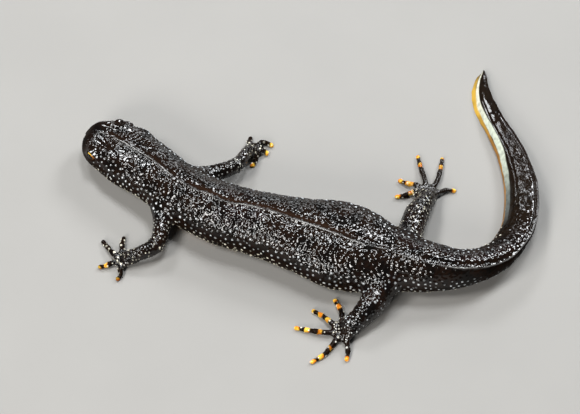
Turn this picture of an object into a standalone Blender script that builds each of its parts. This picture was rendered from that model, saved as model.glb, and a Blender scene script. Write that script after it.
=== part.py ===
"""Great crested newt, an adult male on land: a still, life-size model cut into named parts.

The tables hold millimetres and degrees, and the scene is in metres. The floor is z = 0.
The newt walks towards -X with its tail swung round to its own right (+Y), so its left
side faces -Y. Every solid is a loft: the body along its spine, each limb along its bones
and each digit from its palm to its tip.
"""

import math
from typing import NamedTuple

import bmesh
import bpy
import numpy as np
from mathutils import Matrix, Vector

MM = 0.001
GAP = 0.3  # left between neighbouring solids

BODY_SIDES = 24
BODY_RING_STEP = 2.0  # along the spine
HEAD_RING_STEP = 1.0
LIMB_SIDES = 12
LIMB_RING_STEP = 1.0
DIGIT_SIDES = 8
DIGIT_RING_STEP = 1.1

SNOUT_ROUNDING_WIDE = 5.4  # radius of the snout seen from above
SNOUT_ROUNDING_HIGH = 3.2  # radius of the snout seen from the side
TIP_ROUNDING = 0.6  # radius of the tail's tip
FIRST_RING = 0.05  # a loft's end ring, just short of where its round end closes
SLOPE_STEP = 0.05  # apart from each other, two places that give a path's direction
SHARP_EDGE = 50  # degrees

EYE_RADIUS = 1.3
EYE_FROM_SNOUT = 5.4
EYE_OUT = 4.75  # from the midline
EYE_HEIGHT = 5.55
EYE_DEPTH = 0.92  # of the ball, as a share of its width
EYE_FACES_FROM = 3.55  # height on the midline that both eyes face away from

MOUTH_LENGTH = 9.8  # snout to the corner of the mouth
MOUTH_HEIGHT = 2.75
MOUTH_CUTTER = 20.0  # wider and longer than the head's front

SHOULDERS_TO_VENT = (0.1, 0.65)  # what the limbs' roots meet, as shares of the spine

PALM_HALF_HEIGHT = 0.9
PALM_FRONT_HALF_HEIGHT = 0.65
PALM_ROUNDING = 0.6  # radius of its front, as a share of its length
SOLE_PRESS = 0.12  # how far a sole or a fingertip is flattened on the floor
KNUCKLE_HEIGHT = 0.95
DIGIT_START = 0.35  # where a digit's loft begins, from the palm's middle to its knuckle
DIGIT_TIP_RADIUS = 0.42
DIGIT_RADII = (0.56, 0.56, 0.5, DIGIT_TIP_RADIUS)  # start, knuckle, halfway and tip


class Landmark(NamedTuple):
    """A place on the spine. Lift is the section's lowest point over the floor: below
    zero, the skin is pressed flat. Roll leans the back towards the newt's left. Power
    is the superellipse's: 2 is an ellipse, less is keeled and more is boxy."""

    name: str
    x: float
    y: float
    lift: float
    width: float
    height: float
    roll: float
    power: float


SPINE = [
    Landmark("snout", -41.4, 15.25, 1.2, 10.3, 5.0, 0, 2.3),
    Landmark("eyes", -37.2, 12.7, 0.9, 11.9, 6.2, 0, 2.4),
    Landmark("jaw", -32.2, 8.9, 0.7, 13.4, 7.5, 0, 2.3),
    Landmark("nape", -28.0, 5.6, 0.6, 12.3, 8.3, 0, 2.1),
    Landmark("shoulder", -21.4, -0.4, 0.2, 11.9, 9.6, 0, 2.1),
    Landmark("chest", -14.0, -4.8, -0.3, 13.1, 10.6, 0, 2.1),
    Landmark("midriff", -5.5, -7.8, -0.5, 13.5, 11.4, 0, 2.1),
    Landmark("belly", 2.0, -10.2, -0.5, 15.6, 11.4, 3, 2.1),
    Landmark("loin", 9.5, -12.7, -0.5, 18.2, 11.2, 8, 2.1),
    Landmark("hip", 16.0, -14.9, -0.5, 15.8, 10.8, 13, 2.1),
    Landmark("pelvis", 20.8, -16.2, -0.4, 11.9, 10.4, 17, 2.0),
    Landmark("vent", 26.4, -17.4, -0.2, 10.2, 10.2, 21, 1.95),
    Landmark("tail_root", 33.0, -17.8, 0.4, 7.6, 9.2, 29, 1.85),
    Landmark("bend", 39.6, -15.0, 0.1, 6.2, 8.6, 42, 1.75),
    Landmark("bend_end", 44.4, -8.3, -0.1, 5.2, 8.2, 54, 1.65),
    Landmark("tail_middle", 46.1, 1.0, -0.1, 4.2, 7.6, 60, 1.6),
    Landmark("tail_end", 44.7, 11.5, -0.1, 3.2, 6.3, 62, 1.55),
    Landmark("tail_taper", 41.0, 22.0, -0.1, 2.2, 4.8, 62, 1.5),
    Landmark("tail_last", 39.6, 28.6, -0.1, 1.5, 3.7, 62, 1.6),
    Landmark("tip", 40.5, 35.2, -0.1, 0.8, 0.9, 62, 2.0),
]

BODY_PARTS = [  # name, and where it ends as a share of the spine's length
    ("head", 0.118),
    ("neck", 0.180),
    ("chest", 0.270),
    ("trunk", 0.420),
    ("pelvis", 0.530),
    ("tail_base", 0.640),
    ("tail_middle", 0.770),
    ("tail_end", 0.900),
    ("tail_tip", 1.0),
]


class Limb(NamedTuple):
    """The joints are the root inside the body, the elbow or knee, and the wrist or
    ankle, each (x, y, z) with its radius. The palm points along its heading, and the
    digits leave it evenly between the two angles of the fan. A digit is its tip and
    how far its middle bends to its left."""

    side: str
    names: tuple
    joints: tuple
    radii: tuple
    palm: tuple  # length and width
    heading: float
    fan: tuple
    digit_name: str
    digits: tuple


ARM = ("upper_arm", "forearm", "hand")
LEG = ("thigh", "shank", "foot")

LIMBS = [
    Limb(
        "left",
        ARM,
        ((-25.6, -1.8, 4.9), (-26.3, -11.3, 3.2), (-31.0, -13.2, 1.9)),
        (1.65, 1.7, 1.45),
        (3.4, 3.9),
        178,
        (100, 252),
        "finger",
        ((-32.8, -7.4, 0.2), (-37.1, -8.3, 0.1), (-37.7, -14.6, 0.3), (-33.9, -17.8, 0.6)),
    ),
    Limb(
        "right",
        ARM,
        ((-20.4, 3.4, 5.0), (-10.9, 7.5, 3.8), (-8.2, 12.6, 1.9)),
        (1.75, 1.6, 1.3),
        (3.0, 3.6),
        52,
        (125, -75),
        "finger",
        ((-7.9, 17.2, 0.1), (-3.4, 14.8, 0.5), (-4.4, 12.6, 0.0), (-8.0, 9.7, 0.4)),
    ),
    Limb(
        "left",
        LEG,
        ((20.6, -16.6, 4.8), (15.8, -25.3, 3.7), (12.0, -29.0, 2.1)),
        (2.7, 2.6, 2.1),
        (4.2, 5.4),
        200,
        (88, 288),
        "toe",
        (
            (8.5, -22.1, -0.4),
            (4.2, -24.6, -0.2),
            (0.8, -28.6, 0.1),
            (3.9, -36.5, 0.6),
            (10.7, -36.2, 0.3),
        ),
    ),
    Limb(
        "right",
        LEG,
        ((22.3, -14.2, 4.8), (25.1, -4.3, 3.9), (27.4, 0.9, 2.0)),
        (2.6, 2.5, 1.9),
        (4.0, 5.2),
        96,
        (178, 0),
        "toe",
        (
            (21.0, 2.2, 0.3),
            (21.8, 6.4, 0.3),
            (25.9, 12.5, 0.1),
            (30.9, 12.0, -0.3),
            (33.4, 3.6, 0.5),
        ),
    ),
]

MATERIALS = {  # colour, roughness
    "skin": ((0.016, 0.012, 0.010), 0.32),
    "tail_skin": ((0.030, 0.028, 0.028), 0.32),
    "digit_skin": ((0.060, 0.040, 0.016), 0.40),
    "eye": ((0.012, 0.010, 0.008), 0.08),
}


def smooth(knots, values, places):
    """Values between the knots, on cubics whose slopes follow the neighbouring knots."""
    knots = np.asarray(knots, float)
    values = np.asarray(values, float)
    places = np.asarray(places, float)
    slopes = np.gradient(values, knots, axis=0)
    i = np.clip(np.searchsorted(knots, places, side="right") - 1, 0, len(knots) - 2)
    span = (knots[i + 1] - knots[i])[:, None]
    t = (places - knots[i])[:, None] / span
    held = (1 + 2 * t) * (1 - t) ** 2 * values[i] + t * t * (3 - 2 * t) * values[i + 1]
    turned = t * (1 - t) ** 2 * slopes[i] - t * t * (1 - t) * slopes[i + 1]
    return held + turned * span


def lengths_along(points):
    steps = np.linalg.norm(np.diff(np.asarray(points, float), axis=0), axis=1)
    return np.concatenate([[0.0], np.cumsum(steps)])


def opened(distance, radius):
    """How wide a round end is, as a share, at this distance from where it closes."""
    return math.sqrt(1 - min(max(1 - distance / radius, 0.0), 1.0) ** 2)


def unit(vector):
    return vector / np.linalg.norm(vector)


def superellipse(power, sides):
    """The unit outline, as its points' distances across and upward."""
    angle = (np.arange(sides) + 0.5) / sides * math.tau
    across, upward = np.cos(angle), np.sin(angle)
    return (
        np.sign(across) * np.abs(across) ** (2 / power),
        np.sign(upward) * np.abs(upward) ** (2 / power),
    )


class Body:
    """The whole body as one loft, read at any distance along the spine."""

    def __init__(self):
        self.knots = lengths_along([(mark.x, mark.y) for mark in SPINE])
        self.length = self.knots[-1]
        self.table = [mark[1:] for mark in SPINE]

    def section(self, distance):
        """The landmark values here, and the unit vector to the newt's left."""
        before, here, after = smooth(
            self.knots, self.table, [distance - SLOPE_STEP, distance, distance + SLOPE_STEP]
        )
        ahead = unit((after - before)[:2])
        return here, np.array([ahead[1], -ahead[0]])

    def ring(self, distance, grown=0.0):
        (x, y, lift, width, height, roll, power), left = self.section(distance)
        lean = math.radians(roll)
        across, upward = superellipse(power, BODY_SIDES)
        level = width / 2 * across * math.sin(lean) - height / 2 * upward * math.cos(lean)
        closing = opened(self.length - distance, TIP_ROUNDING)
        wide = closing * opened(distance, SNOUT_ROUNDING_WIDE)
        high = closing * opened(distance, SNOUT_ROUNDING_HIGH)
        across = across * (width / 2 * wide + grown)
        upward = upward * (height / 2 * high + grown)
        leftward = across * math.cos(lean) + upward * math.sin(lean)
        z = lift + level.max() - across * math.sin(lean) + upward * math.cos(lean)
        return np.column_stack([x + left[0] * leftward, y + left[1] * leftward, z])

    def rings(self, first, last, step, grown=0.0):
        count = max(2, round((last - first) / step) + 1)
        return [self.ring(d, grown) for d in np.linspace(first, last, count)]

    def point(self, distance, leftward, z):
        (x, y, *_), left = self.section(distance)
        return Vector((x + left[0] * leftward, y + left[1] * leftward, z))


class Tube:
    """A round path through a few points. Half sizes are (across, upward) at each."""

    def __init__(self, points, half_sizes, sides, step, end_rounding=0.0):
        self.knots = lengths_along(points)
        self.table = np.hstack([points, half_sizes])
        self.sides = sides
        self.step = step
        self.end_rounding = end_rounding

    def rings(self, first, last, grown=0.0):
        count = max(3, round((last - first) / self.step) + 1)
        share = np.linspace(0, 1, count)
        closes = self.end_rounding > 0 and last == self.knots[-1]
        if closes:
            share = np.sin(share * math.pi / 2)
            last -= FIRST_RING
        rings = []
        for distance in first + share * (last - first):
            here, after = smooth(self.knots, self.table, [distance, distance + SLOPE_STEP])
            ahead = unit((after - here)[:3])
            side = unit(np.cross(ahead, (0, 0, 1)))
            top = np.cross(side, ahead)
            size = opened(self.knots[-1] - distance, self.end_rounding) if closes else 1.0
            across, upward = superellipse(2.0, self.sides)
            across = np.outer(across * (here[3] * size + grown), side)
            upward = np.outer(upward * (here[4] * size + grown), top)
            rings.append(here[:3] + across + upward)
        return rings


def loft_mesh(name, rings, on_floor=True):
    """One closed mesh through the rings. On the floor, what would pass it lies flat."""
    work = bmesh.new()
    loops = []
    for ring in rings:
        points = [Vector(point) for point in ring]
        for point in points:
            point.z = max(point.z, 0.0) if on_floor else point.z
        loops.append([work.verts.new(point * MM) for point in points])
    for near, far in zip(loops, loops[1:]):
        for i in range(len(near)):
            j = (i + 1) % len(near)
            work.faces.new((near[i], near[j], far[j], far[i]))
    work.faces.new(loops[0][::-1])
    work.faces.new(loops[-1])
    bmesh.ops.recalc_face_normals(work, faces=work.faces)
    mesh = bpy.data.meshes.new(name)
    work.to_mesh(mesh)
    work.free()
    return mesh


def make_material(name, colour, roughness):
    material = bpy.data.materials.new(name)
    material.use_nodes = True
    shader = material.node_tree.nodes["Principled BSDF"]
    shader.inputs["Base Color"].default_value = (*colour, 1.0)
    shader.inputs["Roughness"].default_value = roughness
    shader.inputs["Metallic"].default_value = 0.0
    return material


class Model:
    """The scene's objects: pieces and hidden cutters, all under one empty."""

    def __init__(self):
        self.root = self.link(bpy.data.objects.new("newt", None))
        self.materials = {
            name: make_material(name, *look) for name, look in MATERIALS.items()
        }

    def link(self, thing):
        bpy.context.scene.collection.objects.link(thing)
        return thing

    def piece(self, mesh, material, origin):
        """An object whose origin is the place it grows from."""
        origin = Vector(origin) * MM
        mesh.transform(Matrix.Translation(-origin))
        mesh.shade_smooth()
        mesh.set_sharp_from_angle(angle=math.radians(SHARP_EDGE))
        mesh.materials.append(self.materials[material])
        thing = self.link(bpy.data.objects.new(mesh.name, mesh))
        thing.location = origin
        thing.parent = self.root
        return thing

    def cutter(self, mesh):
        thing = self.link(bpy.data.objects.new(mesh.name, mesh))
        thing.parent = self.root
        thing.hide_render = True
        thing.display_type = "WIRE"
        return thing


def cut(piece, cutter, operation="DIFFERENCE"):
    boolean = piece.modifiers.new(cutter.name, "BOOLEAN")
    boolean.operation = operation
    boolean.solver = "EXACT"
    boolean.object = cutter


def box_mesh(name, corner, opposite):
    low, high = Vector(corner) * MM, Vector(opposite) * MM
    work = bmesh.new()
    bmesh.ops.create_cube(work, size=1.0)
    for vert in work.verts:
        vert.co = (low + high) / 2 + Vector(a * b for a, b in zip(vert.co, high - low))
    mesh = bpy.data.meshes.new(name)
    work.to_mesh(mesh)
    work.free()
    return mesh


def ball_mesh(name, centre, radius, facing):
    """A slightly flattened ball, its pole along the way it faces."""
    work = bmesh.new()
    bmesh.ops.create_uvsphere(work, u_segments=16, v_segments=10, radius=radius * MM)
    turn = Vector((0, 0, 1)).rotation_difference(facing).to_matrix().to_4x4()
    flatten = Matrix.Diagonal((1, 1, EYE_DEPTH, 1))
    work.transform(Matrix.Translation(centre * MM) @ turn @ flatten)
    mesh = bpy.data.meshes.new(name)
    work.to_mesh(mesh)
    work.free()
    return mesh


def add_trunk_and_tail(model, body):
    """The body in lengths, with a gap between each and the next."""
    pieces = {}
    start = 0.0
    for name, share in BODY_PARTS:
        end = share * body.length
        first = start + GAP / 2 if start else FIRST_RING
        last = end - GAP / 2 if share < 1 else end - FIRST_RING
        step = HEAD_RING_STEP if name == "head" else BODY_RING_STEP
        mesh = loft_mesh(name, body.rings(first, last, step))
        look = "tail_skin" if name.startswith("tail") else "skin"
        pieces[name] = model.piece(mesh, look, body.point(first, 0, 0))
        start = end
    return pieces


def add_mouth(model, body, head):
    """The lower jaw is the head's part under the mouth, as far back as its corner."""
    jaw = head.copy()
    jaw.data = head.data.copy()
    jaw.name = "lower_jaw"
    model.link(jaw)
    turned = body.point(0, 0, 0) - body.point(MOUTH_LENGTH, 0, 0)
    bearing = Matrix.Rotation(math.atan2(turned.y, turned.x), 4, "Z")
    place = Matrix.Translation(body.point(MOUTH_LENGTH, 0, 0) * MM) @ bearing
    wide = MOUTH_CUTTER
    for piece, name, operation, gap in (
        (head, "under_mouth", "DIFFERENCE", GAP / 2),
        (jaw, "jaw_space", "INTERSECT", -GAP / 2),
    ):
        mesh = box_mesh(name, (-gap, -wide, -wide), (wide, wide, MOUTH_HEIGHT + gap))
        mesh.transform(place)
        cut(piece, model.cutter(mesh), operation)


def add_eyes(model, body, head):
    for side, sign in (("left", 1), ("right", -1)):
        centre = body.point(EYE_FROM_SNOUT, sign * EYE_OUT, EYE_HEIGHT)
        facing = (centre - body.point(EYE_FROM_SNOUT, 0, EYE_FACES_FROM)).normalized()
        eye = ball_mesh(f"eye_{side}", centre, EYE_RADIUS, facing)
        model.piece(eye, "eye", centre)
        socket = ball_mesh(f"socket_{side}", centre, EYE_RADIUS + GAP, facing)
        cut(head, model.cutter(socket))


def add_limb(model, limb, near_body):
    """The upper and lower lengths and the palm or sole are one path cut at its joints."""
    length, width = limb.palm
    heading = math.radians(limb.heading)
    along = np.array([math.cos(heading), math.sin(heading), 0.0])
    joints = [np.array(joint) for joint in limb.joints]
    middle = joints[-1] + along * length / 2
    middle[2] = PALM_HALF_HEIGHT - SOLE_PRESS
    front = joints[-1] + along * length
    front[2] = PALM_FRONT_HALF_HEIGHT - SOLE_PRESS
    path = Tube(
        [*joints, middle, front],
        [(radius, radius) for radius in limb.radii]
        + [(width / 2, PALM_HALF_HEIGHT), (width / 2, PALM_FRONT_HALF_HEIGHT)],
        LIMB_SIDES,
        LIMB_RING_STEP,
        length * PALM_ROUNDING,
    )
    ends = [
        (path.knots[0], path.knots[1] - GAP / 2),
        (path.knots[1] + GAP / 2, path.knots[2] - GAP / 2),
        (path.knots[2] + GAP / 2, path.knots[4]),
    ]
    for name, joint, (first, last) in zip(limb.names, joints, ends):
        mesh = loft_mesh(f"{name}_{limb.side}", path.rings(first, last))
        piece = model.piece(mesh, "skin", joint)
        if name != limb.names[-1]:
            cut(piece, near_body)
    room = loft_mesh(
        f"{limb.names[-1]}_{limb.side}_room", path.rings(*ends[-1], GAP), on_floor=False
    )
    add_digits(model, limb, middle, model.cutter(room))


def add_digits(model, limb, middle, palm_room):
    angles = np.radians(np.linspace(*limb.fan, len(limb.digits)))
    reach = limb.palm[1] / 2
    for number, ((x, y, bend), angle) in enumerate(zip(limb.digits, angles), 1):
        outward = np.array([math.cos(angle), math.sin(angle), 0.0])
        start = middle + outward * reach * DIGIT_START
        knuckle = middle + outward * reach
        knuckle[2] = KNUCKLE_HEIGHT
        tip = np.array([x, y, DIGIT_TIP_RADIUS - SOLE_PRESS])
        leftward = unit(np.array([knuckle[1] - y, x - knuckle[0], 0.0]))
        halfway = (knuckle + tip) / 2 + leftward * bend
        path = Tube(
            [start, knuckle, halfway, tip],
            [(radius, radius) for radius in DIGIT_RADII],
            DIGIT_SIDES,
            DIGIT_RING_STEP,
            DIGIT_TIP_RADIUS,
        )
        name = f"{limb.digit_name}_{limb.side}_{number}"
        digit = loft_mesh(name, path.rings(0.0, path.knots[-1]))
        cut(model.piece(digit, "digit_skin", knuckle), palm_room)


def centre_on_origin(root):
    """Stands the newt with the middle of its box's bottom on the origin."""
    bpy.context.view_layer.update()
    graph = bpy.context.evaluated_depsgraph_get()
    corners = []
    for thing in root.children:
        if thing.hide_render:
            continue
        evaluated = thing.evaluated_get(graph)
        corners += [evaluated.matrix_world @ Vector(c) for c in evaluated.bound_box]
    low = Vector(map(min, zip(*corners)))
    high = Vector(map(max, zip(*corners)))
    root.location = (-(low.x + high.x) / 2, -(low.y + high.y) / 2, 0.0)


def main():
    for thing in list(bpy.data.objects):
        bpy.data.objects.remove(thing)
    model = Model()
    body = Body()
    parts = add_trunk_and_tail(model, body)
    add_mouth(model, body, parts["head"])
    add_eyes(model, body, parts["head"])
    first, last = (share * body.length for share in SHOULDERS_TO_VENT)
    rings = body.rings(first, last, BODY_RING_STEP, GAP)
    near_body = model.cutter(loft_mesh("near_body", rings, on_floor=False))
    for limb in LIMBS:
        add_limb(model, limb, near_body)
    centre_on_origin(model.root)


main()
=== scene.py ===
"""Great crested newt, an adult male on land: the skin, eyes, floor, lights and camera.

The skin is one closed mesh grown from the frame's solids. Their signed distances are joined
softly on one grid, meshed, smoothed, and cut finer on the head, hands and feet. Folds, lids,
nostrils, digits' joints and warts are then modelled by moving its points, and every marking
is a value worked out at each point from its place on the animal. Lengths are millimetres
until a mesh is made, and the studio's are metres.
"""

import math

import bmesh
import bpy
import numpy as np
import openvdb
from mathutils import Matrix, Vector, kdtree


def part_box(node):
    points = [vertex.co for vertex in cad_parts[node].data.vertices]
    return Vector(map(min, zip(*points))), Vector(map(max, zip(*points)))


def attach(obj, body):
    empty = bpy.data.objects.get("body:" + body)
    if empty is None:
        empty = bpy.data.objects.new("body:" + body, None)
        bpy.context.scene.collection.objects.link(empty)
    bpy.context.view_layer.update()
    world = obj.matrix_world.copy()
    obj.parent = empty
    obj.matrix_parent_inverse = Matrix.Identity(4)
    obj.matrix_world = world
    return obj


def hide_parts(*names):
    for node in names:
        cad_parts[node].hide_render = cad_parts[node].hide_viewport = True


MM = 0.001

VOXEL = 0.14  # spacing of the grid that the skin grows on
SMOOTHING = 1.6  # rounds of smoothing, times the square of the grid's spacing
BAND = 2.2  # how far from a solid its distances are kept
CLOSE_GAPS = 0.8  # softness of the union between lengths of one body or limb
LIMB_ROOT = 2.0  # softness where a limb meets the body
DIGIT_ROOT = 0.7  # softness where a digit meets its hand or foot
RIDGE_WAVES = 36  # how many waves a winding pattern is made of
LATTICE = 32  # cells along each side of the lattice that noise is drawn from
EYE_UPWARD = 1.0  # how far below their own level the eyes' axes meet
EYE_FORWARD = 0.28  # how much the eyes look ahead, as a share of how much they look out
LID_BED = 0.15  # thickness of skin laid over an eye before its opening is made
EYE_PLAY = 0.03  # how much less the eyeball's radius is than its solid's
CORNEA_RISE = 0.06  # how far the cornea stands proud, as a share of the radius
CORNEA_EDGE = 0.55  # where the cornea starts, as a share of the way out to its top

# Snout to tail tip: x, y and how far the back leans to the newt's left, in degrees.
SPINE = [
    (-45.1, 16.0, 0),
    (-40.9, 13.5, 0),
    (-35.9, 9.7, 0),
    (-31.7, 6.4, 0),
    (-25.1, 0.4, 0),
    (-17.7, -4.0, 0),
    (-9.2, -7.0, 0),
    (-1.7, -9.4, 3),
    (5.8, -11.9, 8),
    (12.3, -14.1, 13),
    (17.1, -15.4, 17),
    (22.7, -16.6, 21),
    (29.3, -17.0, 29),
    (35.9, -14.2, 42),
    (40.7, -7.5, 54),
    (42.4, 1.8, 60),
    (41.0, 12.3, 62),
    (37.3, 22.8, 62),
    (35.9, 29.4, 62),
    (36.8, 36.0, 62),
]
SPINE_STEP = 0.25
CHUNK = 20000  # how many points are placed along the spine at once

SIDES = ("left", "right")
BODY = ["head", "lower_jaw", "neck", "chest", "trunk", "pelvis"]
TAIL = ["tail_base", "tail_middle", "tail_end", "tail_tip"]
ROOTS = [f"{bone}_{side}" for side in SIDES for bone in ("upper_arm", "thigh")]
LOWERS = [f"{bone}_{side}" for side in SIDES for bone in ("forearm", "shank")]
PALMS = [f"{bone}_{side}" for side in SIDES for bone in ("hand", "foot")]
DIGITS = [
    f"{kind}_{side}_{number}"
    for side in SIDES
    for kind, count in (("finger", 4), ("toe", 5))
    for number in range(1, count + 1)
]
LIMBS = ROOTS + LOWERS + PALMS
FLESH = BODY + TAIL + LIMBS + DIGITS

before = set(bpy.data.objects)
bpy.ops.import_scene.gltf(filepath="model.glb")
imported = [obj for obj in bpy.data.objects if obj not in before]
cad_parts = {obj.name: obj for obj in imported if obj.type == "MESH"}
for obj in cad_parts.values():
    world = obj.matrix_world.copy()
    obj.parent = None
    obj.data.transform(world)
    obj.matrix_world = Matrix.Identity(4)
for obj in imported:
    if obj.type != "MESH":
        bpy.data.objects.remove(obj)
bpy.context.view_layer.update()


def length(vectors):
    return np.linalg.norm(vectors, axis=-1)


def unit(vectors):
    return vectors / length(vectors)[..., None]


def ramp(value, start, end):
    """A smooth step from 0 at the start to 1 at the end."""
    t = np.clip((value - start) / (end - start), 0.0, 1.0)
    return t * t * (3 - 2 * t)


def plateau(value, start, full, fade, end):
    """0 up to the start, 1 from full to fade, and 0 again from the end."""
    return ramp(value, start, full) * ramp(value, end, fade)


def bell(value, centre, width):
    return np.exp(-(((value - centre) / width) ** 2))


def blend(table, cell, share):
    """The table's values between each cell and the next ones, mixed by the share of the way."""
    total = np.zeros(len(cell))
    for corner in np.ndindex(2, 2, 2):
        weight = np.prod(np.where(corner, share, 1 - share), axis=1)
        total += weight * table[tuple(((cell + corner) % table.shape).T)]
    return total


def noise(points, size, seed):
    """Smooth random values from -1 to 1 with lumps about this size."""
    lattice = np.random.default_rng(seed).uniform(-1, 1, (LATTICE,) * 3)
    place = points / size
    cell = np.floor(place).astype(int)
    return blend(lattice, cell, ramp(place - cell, 0, 1))


def ridges(places, wavelength, seed):
    """A winding pattern of ridges and grooves from about -1 to 1, this far apart."""
    rng = np.random.default_rng(seed)
    total = np.zeros(len(places))
    for way in unit(rng.normal(size=(RIDGE_WAVES, places.shape[1]))):
        pitch = wavelength * rng.uniform(0.72, 1.45)
        total += np.cos(places @ (way * math.tau / pitch) + rng.uniform(0, math.tau))
    return np.tanh(1.5 * total * math.sqrt(2 / RIDGE_WAVES))


def triples(items, name, kind=np.float32):
    """The three numbers of this name for each of a mesh's items."""
    found = np.empty(len(items) * 3, kind)
    items.foreach_get(name, found)
    return found.reshape(-1, 3)


def node_mesh(name):
    """A CAD node's points and triangles."""
    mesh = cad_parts[name].data
    mesh.calc_loop_triangles()
    faces = triples(mesh.loop_triangles, "vertices", np.int32)
    return triples(mesh.vertices, "co") / MM, faces.astype(np.uint32)


def middle_of(name):
    low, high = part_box(name)
    return np.array((low + high) / 2) / MM


NODE_POINTS = {name: node_mesh(name)[0] for name in FLESH}
TO_SNOUT = middle_of("lower_jaw") - middle_of("neck")


class Eye:
    """An eyeball's place, and the ways it faces, runs along the head and points up."""

    def __init__(self, side):
        low, high = (np.array(corner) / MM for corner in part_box(f"eye_{side}"))
        self.centre = (low + high) / 2
        self.radius = float((high - low).max()) / 2
        other = middle_of("eye_right" if side == "left" else "eye_left")
        between = (self.centre + other) / 2 - (0, 0, EYE_UPWARD)
        ahead = unit(TO_SNOUT * (1, 1, 0))
        self.out = unit(unit(self.centre - between) + EYE_FORWARD * ahead)
        self.ahead = unit(ahead - self.out * (ahead @ self.out))
        self.up = np.cross(self.ahead, self.out)
        self.up *= np.sign(self.up[2])


EYES = {side: Eye(side) for side in SIDES}


class Grid:
    """Signed distances on a window of the shared lattice, one node's or the whole skin's."""

    def __init__(self, low, high):
        self.low = np.floor(low / VOXEL).astype(int)
        self.high = np.ceil(high / VOXEL).astype(int)
        self.values = np.full(self.high - self.low, BAND, np.float32)

    def join(self, other, softness):
        """A union whose inner corners are filled over this softness."""
        corner = other.low - self.low
        here = tuple(slice(a, a + n) for a, n in zip(corner, other.values.shape))
        old, new = self.values[here], other.values
        near = np.clip(1 - np.abs(old - new) / softness, 0, 1)
        self.values[here] = np.minimum(old, new) - near * near * softness / 4

    def places(self):
        axes = [np.arange(a, b) * VOXEL for a, b in zip(self.low, self.high)]
        return np.stack(np.meshgrid(*axes, indexing="ij"), axis=-1)

    def at(self, points):
        """The distances at these points, BAND where the window doesn't reach."""
        place = points / VOXEL - self.low
        cell = np.floor(place).astype(int)
        inside = ((cell >= 0) & (cell < np.array(self.values.shape) - 1)).all(axis=1)
        found = np.full(len(points), BAND)
        found[inside] = blend(self.values, cell[inside], (place - cell)[inside])
        return found


def node_grid(name):
    points, faces = node_mesh(name)
    grid = openvdb.FloatGrid.createLevelSetFromPolygons(
        points,
        triangles=faces,
        transform=openvdb.createLinearTransform(voxelSize=VOXEL),
        halfWidth=BAND / VOXEL,
    )
    made = Grid(points.min(axis=0) - BAND, points.max(axis=0) + BAND)
    grid.copyToArray(made.values, ijk=tuple(int(i) for i in made.low))
    return made


def ball_grid(centre, radius):
    made = Grid(centre - radius - BAND, centre + radius + BAND)
    distance = length(made.places() - centre) - radius
    made.values = np.clip(distance, -BAND, BAND).astype(np.float32)
    return made


def join_nodes(grids):
    """The whole animal's distances, with a ball of skin over each eye."""
    every_point = np.concatenate(list(NODE_POINTS.values()))
    margin = BAND + 1
    whole = Grid(every_point.min(axis=0) - margin, every_point.max(axis=0) + margin)
    lids = {side: ball_grid(eye.centre, eye.radius + LID_BED) for side, eye in EYES.items()}
    grids = grids | lids
    for names, softness in (
        ([*BODY, *lids, *TAIL], CLOSE_GAPS),
        (ROOTS, LIMB_ROOT),
        (LOWERS + PALMS, CLOSE_GAPS),
        (DIGITS, DIGIT_ROOT),
    ):
        for name in names:
            whole.join(grids[name], softness)
    return whole


def mesh_of(whole):
    """The points and quads of the surface where the distance is zero."""
    grid = openvdb.FloatGrid(BAND)
    grid.transform = openvdb.createLinearTransform(voxelSize=VOXEL)
    grid.gridClass = openvdb.GridClass.LEVEL_SET
    grid.copyFromArray(whole.values, ijk=tuple(int(i) for i in whole.low))
    points, quads = grid.convertToQuads()
    return points.astype(float), quads.astype(np.int64)[:, ::-1]


def edges_of(corners, counts):
    """The polygons' edges, and the number of the edge that follows each of their corners."""
    start = np.cumsum(counts) - counts
    after = np.arange(1, len(corners) + 1)
    after[start + counts - 1] = start
    ends = np.sort(np.column_stack([corners, corners[after]]), axis=1)
    key = ends[:, 0] * (corners.max() + 1) + ends[:, 1]
    _, first, number = np.unique(key, return_index=True, return_inverse=True)
    return ends[first], number


def relax(points, edges, share, rounds):
    """In each round, every point moves its share of the way to its neighbours' middle."""
    count = len(points)
    a, b = edges.T
    neighbours = np.bincount(edges.ravel(), minlength=count)
    for _ in range(rounds):
        for axis in range(3):
            value = points[:, axis]
            total = np.bincount(a, value[b], count) + np.bincount(b, value[a], count)
            points[:, axis] += share * (total / neighbours - value)


def refine(points, quads, edges, quad_edges, chosen):
    """Cuts each chosen quad into four. A neighbour takes the new corner on their edge."""
    split = np.zeros(len(edges), bool)
    split[quad_edges[chosen].ravel()] = True
    middle = np.full(len(edges), -1)
    middle[split] = len(points) + np.arange(split.sum())
    centre = len(points) + split.sum() + np.arange(chosen.sum())
    new_points = [points, points[edges[split]].mean(axis=1), points[quads[chosen]].mean(axis=1)]
    old, sides = quads[chosen], middle[quad_edges[chosen]]
    finer = [
        np.column_stack([old[:, k], sides[:, k], centre, sides[:, k - 1]]) for k in range(4)
    ]
    touched = split[quad_edges].any(axis=1) & ~chosen
    corners = [quads[~touched & ~chosen].ravel()] + [part.ravel() for part in finer]
    counts = [np.full(sum(map(len, corners)) // 4, 4)]
    for quad, number in zip(quads[touched], quad_edges[touched]):
        ring = []
        for corner, side in zip(quad, middle[number]):
            ring += [corner] if side < 0 else [corner, side]
        corners.append(np.array(ring))
        counts.append(np.array([len(ring)]))
    return np.concatenate(new_points), np.concatenate(corners), np.concatenate(counts)


def set_points(mesh, points):
    mesh.vertices.foreach_set("co", (points * MM).astype(np.float32).ravel())
    mesh.update()


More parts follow.
